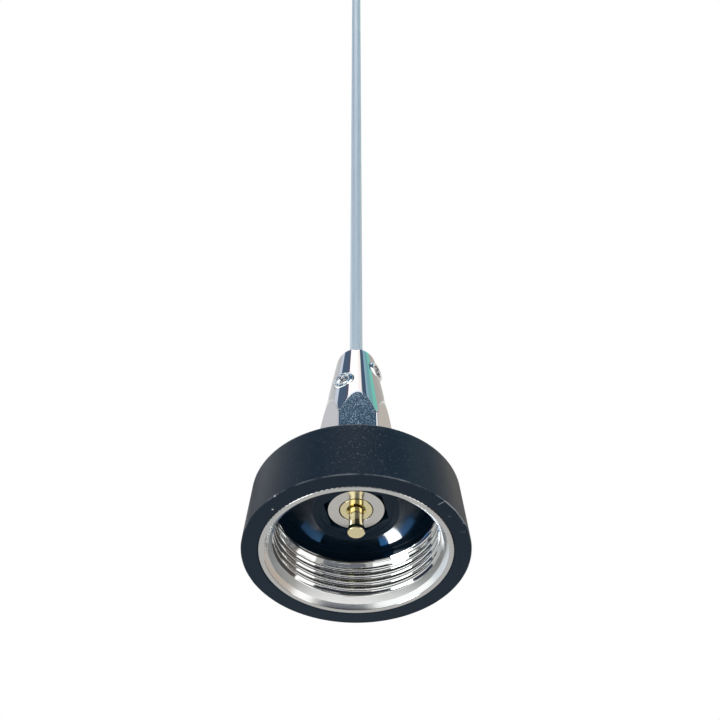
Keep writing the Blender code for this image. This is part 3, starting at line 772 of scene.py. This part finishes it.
# Set screws
# Two plated steel screws, each with a hexagon socket. They bear on the whip through
# tapped holes, one above the other and a quarter turn apart, and stand a little proud.
SET_SCREW_PROUD = 0.20 * MM
SET_SCREW_POINT = 0.60 * MM
SET_SCREW_CHAMFER = 0.25 * MM
SOCKET_APOTHEM = 1.15 * MM
SOCKET_DEPTH = 1.50 * MM
SOCKET_POINT = 0.60 * MM
SET_SCREW_EDGE = 0.06 * MM
SET_SCREW_COLUMNS = 120
screw_plate = Finish("screw_plate", Base_Color=(0.78, 0.79, 0.80), Metallic=1.0)
screw_dents = screw_plate.noise(screw_plate.place, 800.0, 2.0)
screw_plate.drive("Roughness", screw_dents * 0.16 + 0.04)
screw_plate.bump(screw_dents, 0.10 * MM)
inner = WHIP_RADIUS + SEAT_GAP
for screw_name, screw_angle, screw_height in screw_places:
    outer = taper_radius(screw_height) + SET_SCREW_PROUD
    screw_outline = eased(
        [(0, outer - SOCKET_DEPTH - SOCKET_POINT, 0), (SOCKET_APOTHEM, outer - SOCKET_DEPTH, 1),
         (SOCKET_APOTHEM, outer, 1),
         (SET_SCREW_RADIUS - SET_SCREW_CHAMFER, outer, 0), (SET_SCREW_RADIUS, outer - SET_SCREW_CHAMFER, 0),
         (SET_SCREW_RADIUS, inner + SET_SCREW_POINT, 0), (SET_SCREW_RADIUS - SET_SCREW_POINT, inner, 0),
         (0, inner, 0)], SET_SCREW_EDGE, closed=False)
    screw_grid = turned(screw_outline, SET_SCREW_COLUMNS, 0.0, hexagon(SET_SCREW_COLUMNS))
    screw = skin(screw_name + "_plated", screw_grid)
    screw.data.transform(screw_frame(screw_angle, screw_height))
    fitted(screw, screw_plate, screw_name)

# Whip
# A straight stainless spring rod, drawn to size, so its marks run along it. Its free
# end is rounded and its lower end is chamfered to enter the ferrule.
WHIP_CHAMFER = 0.30 * MM
WHIP_COLUMNS = 96
whip_end = np.linspace(0.0, np.pi / 2.0, 10)[:, None]
whip_dome = np.hstack([WHIP_RADIUS * np.sin(whip_end), whip_high.z - WHIP_RADIUS * (1.0 - np.cos(whip_end))])
whip_outline = np.concatenate(
    [whip_dome, [(WHIP_RADIUS, WHIP_BOTTOM + WHIP_CHAMFER), (WHIP_RADIUS - WHIP_CHAMFER, WHIP_BOTTOM),
                 (0, WHIP_BOTTOM)]])
whip = skin("stainless_whip", turned(whip_outline, WHIP_COLUMNS))
stainless = Finish("drawn_stainless", Base_Color=(0.66, 0.74, 0.79), Metallic=1.0)
streaks = stainless.stretched_noise(5000.0, 60.0, 3.0)
stainless.drive("Roughness", streaks * 0.2 + 0.48)
stainless.bump(streaks, 0.004 * MM)
fitted(whip, stainless, "whip")

# Studio
# The antenna hangs above a pale floor in front of white. The camera looks up at the
# socket, and dark and coloured cards that only reflections see stand for the room.
CAMERA_DISTANCE = 188.5 * MM
CAMERA_BELOW = math.radians(39.24)
CAMERA_TILT = math.radians(48.84)
FOCAL_PIXELS = 1145.0
PHOTO_PIXELS = 720.0
AXIS_PIXEL = 356.2
FLOOR_HEIGHT = -0.9
FLOOR_SIZE = 20.0
LIGHT_STRENGTH = 0.75
CARD_DISTANCE = 0.75
NEARER_DISTANCE = 0.74
CARD_COLUMNS = 13
CARD_ROWS = 9

camera_place = Vector(
    (0.0, -CAMERA_DISTANCE * math.cos(CAMERA_BELOW), -CAMERA_DISTANCE * math.sin(CAMERA_BELOW)))
camera_data = bpy.data.cameras.new("camera")
camera_data.sensor_width = 36.0
camera_data.lens = camera_data.sensor_width * FOCAL_PIXELS / PHOTO_PIXELS
camera_data.shift_x = (PHOTO_PIXELS / 2.0 - AXIS_PIXEL) / PHOTO_PIXELS
camera_data.clip_start = 0.001
camera = bpy.data.objects.new("camera", camera_data)
camera.location = camera_place
camera.rotation_euler = (math.radians(90.0) + CAMERA_TILT, 0.0, 0.0)
scene.collection.objects.link(camera)
scene.camera = camera

world = bpy.data.worlds.new("studio")
world.use_nodes = True
scene.world = world
world_nodes = world.node_tree.nodes
world_links = world.node_tree.links
light = world_nodes["Background"]
light.inputs["Color"].default_value = (1.0, 1.0, 1.0, 1.0)
light.inputs["Strength"].default_value = LIGHT_STRENGTH
white = world_nodes.new("ShaderNodeBackground")
white.inputs["Color"].default_value = (1.0, 1.0, 1.0, 1.0)
path = world_nodes.new("ShaderNodeLightPath")
either = world_nodes.new("ShaderNodeMath")
either.operation = "MAXIMUM"
world_links.new(path.outputs["Is Camera Ray"], either.inputs[0])
world_links.new(path.outputs["Is Glossy Ray"], either.inputs[1])
through = world_nodes.new("ShaderNodeMath")
through.operation = "MAXIMUM"
world_links.new(either.outputs[0], through.inputs[0])
world_links.new(path.outputs["Is Transmission Ray"], through.inputs[1])
choice = world_nodes.new("ShaderNodeMixShader")
world_links.new(through.outputs[0], choice.inputs[0])
world_links.new(light.outputs[0], choice.inputs[1])
world_links.new(white.outputs[0], choice.inputs[2])
world_links.new(choice.outputs[0], world_nodes["World Output"].inputs[0])

floor_mesh = bpy.data.meshes.new("floor")
half_floor = FLOOR_SIZE / 2.0
floor_mesh.from_pydata(
    [(-half_floor, -half_floor, FLOOR_HEIGHT), (half_floor, -half_floor, FLOOR_HEIGHT),
     (half_floor, half_floor, FLOOR_HEIGHT), (-half_floor, half_floor, FLOOR_HEIGHT)],
    [], [(0, 1, 2, 3)])
floor = bpy.data.objects.new("floor", floor_mesh)
scene.collection.objects.link(floor)
pale = Finish("pale_floor", Base_Color=(0.80, 0.80, 0.79), Roughness=0.8)
floor_mesh.materials.append(pale.material)


def card(name, radius, height, angles, tilts, color, strength=1.0, distance=CARD_DISTANCE):
    """A card that only reflections see, placed by where it shows on a turned surface.

    The surface has the radius at the height, and a radius below 0 is a bore's far wall.
    The card shows between two angles from the front where the surface's normal has a
    tilt between the two tilts, all in degrees: the sight line v from the camera goes on
    as v - 2 (v . n) n.
    """
    across = np.radians(np.linspace(*angles, CARD_COLUMNS))
    along = np.radians(np.linspace(*tilts, CARD_ROWS))
    angle, tilt = np.meshgrid(across, along)
    outward = np.stack([np.sin(angle), -np.cos(angle), 0.0 * angle], axis=-1)
    upward = np.array([0.0, 0.0, 1.0])
    normal = outward * np.cos(tilt)[..., None] + upward * np.sin(tilt)[..., None]
    place = radius * outward + height * upward
    sight = place - np.array(camera_place)
    sight /= np.linalg.norm(sight, axis=-1, keepdims=True)
    onward = sight - 2.0 * np.sum(sight * normal, axis=-1, keepdims=True) * normal
    points = place + distance * onward
    index = np.arange(angle.size).reshape(angle.shape)
    quads = np.stack([index[:-1, :-1], index[:-1, 1:], index[1:, 1:], index[1:, :-1]], axis=-1)
    mesh = bpy.data.meshes.new(name)
    mesh.from_pydata(points.reshape(-1, 3), [], quads.reshape(-1, 4))
    obj = bpy.data.objects.new(name, mesh)
    scene.collection.objects.link(obj)
    glow = bpy.data.materials.new(name)
    glow.use_nodes = True
    nodes = glow.node_tree.nodes
    emission = nodes.new("ShaderNodeEmission")
    emission.inputs["Color"].default_value = (*color, 1.0)
    emission.inputs["Strength"].default_value = strength
    glow.node_tree.links.new(emission.outputs[0], nodes["Material Output"].inputs[0])
    mesh.materials.append(glow)
    obj.visible_camera = False
    obj.visible_diffuse = False
    obj.visible_transmission = False
    obj.visible_shadow = False


CONE = (4.8 * MM, 38.0 * MM)
FLAT = (5.8 * MM, 24.0 * MM)
BORE = (-13.9 * MM, 4.0 * MM)
CONE_TILTS = (6.9, 60.0)
FLAT_TILTS = (-12.0, 8.0)
LAMP_TILTS = (-7.0, 5.0)
card("left_wall", *CONE, (-90.0, -42.0), CONE_TILTS, (0.77, 0.78, 0.78))
card("left_window", *CONE, (-42.0, -34.0), CONE_TILTS, (0.9, 1.0, 1.15))
card("navy_left", *CONE, (-34.0, -17.5), CONE_TILTS, (0.115, 0.18, 0.28))
card("plum_left", *CONE, (-17.5, -14.2), CONE_TILTS, (0.19, 0.15, 0.22))
card("lamp_strip", *CONE, (-14.2, 4.0), CONE_TILTS, (1.0, 0.99, 1.0), 1.8)
card("warm_strip", *CONE, (4.0, 9.6), CONE_TILTS, (1.0, 0.93, 0.90), 1.65)
card("navy_right", *CONE, (10.8, 18.5), CONE_TILTS, (0.10, 0.16, 0.25))
card("pale_blue", *CONE, (18.5, 22.5), CONE_TILTS, (0.44, 0.70, 0.88))
card("teal_grey", *CONE, (22.5, 30.0), CONE_TILTS, (0.29, 0.63, 0.66))
card("teal", *CONE, (30.0, 38.0), CONE_TILTS, (0.30, 0.87, 0.72))
card("right_wall", *CONE, (38.0, 75.0), CONE_TILTS, (0.63, 0.60, 0.56))
card("left_side", *FLAT, (-75.0, -40.0), FLAT_TILTS, (0.87, 0.87, 0.90))
card("room_front", *FLAT, (-40.0, 48.0), FLAT_TILTS, (0.045, 0.13, 0.225))
card("front_sheen", *FLAT, (-10.0, 8.0), (5.5, 8.0), (0.8, 0.9, 1.0), 2.0, NEARER_DISTANCE)
card("screw_light", *FLAT, (-34.0, -27.6), LAMP_TILTS, (0.9, 1.0, 1.05), 1.1, NEARER_DISTANCE)
card("corner_light", *FLAT, (31.0, 35.5), LAMP_TILTS, (1.0, 1.0, 1.0), 1.9, NEARER_DISTANCE)
card("right_side", *FLAT, (48.0, 76.0), FLAT_TILTS, (0.75, 0.69, 0.61))
card("far_corner", *FLAT, (76.0, 112.0), FLAT_TILTS, (0.12, 0.13, 0.13))
card("photographer", *BORE, (-12.0, 24.0), (-58.0, -43.5), (0.025, 0.027, 0.032))
card("camera_shade", *BORE, (-7.0, 24.0), (-43.5, -31.0), (0.20, 0.215, 0.25))
card("dark_floor", *BORE, (-28.0, 30.0), (-75.0, -52.0), (0.03, 0.038, 0.055))
card("low_lamp", *BORE, (-45.0, -28.0), (-68.0, -54.0), (0.92, 0.97, 1.0), 9.0)
card("low_shade", *BORE, (-68.0, -45.0), (-75.0, -54.0), (0.04, 0.05, 0.08))
card("left_lamp", *BORE, (30.0, 46.0), (-75.0, -12.0), (1.0, 1.0, 1.0), 1.6)
card("front_window", *BORE, (-12.0, 30.0), (-31.0, -10.0), (1.0, 1.0, 1.0), 1.7)
card("beige_wall", *BORE, (46.0, 100.0), (-50.0, -15.0), (0.66, 0.575, 0.50))
card("dark_corner", *BORE, (46.0, 85.0), (-75.0, -50.0), (0.08, 0.08, 0.08))
card("right_lamp", *BORE, (-60.0, -12.0), (-48.0, -15.0), (0.97, 1.0, 1.0), 1.5)
card("right_window", *BORE, (-100.0, -60.0), (-52.0, -10.0), (0.92, 1.0, 1.08))

# Cavity lights
# The photograph shows a lamp's wedge between blue patches on the cavity's glossy cone. The
# cone mirrors the wall beside it there, so small cards stand just in front of that wall.
CAVITY = (-9.4 * MM, 9.9 * MM)
CAVITY_TILTS = (-126.5, -113.5)
WALL_DISTANCE = 5.0 * MM
card("cavity_blue_right", *CAVITY, (-74.0, -50.0), CAVITY_TILTS, (0.09, 0.25, 0.55), 1.3, WALL_DISTANCE)
card("cavity_lamp", *CAVITY, (-49.5, -34.0), (-126.5, -96.0), (0.92, 0.97, 1.0), 5.6, WALL_DISTANCE)
card("cavity_blue_low", *CAVITY, (-33.0, -25.0), CAVITY_TILTS, (0.04, 0.20, 0.50), 1.3, WALL_DISTANCE)
card("cavity_blue_left", *CAVITY, (38.0, 66.0), CAVITY_TILTS, (0.06, 0.16, 0.32), 1.3, WALL_DISTANCE)
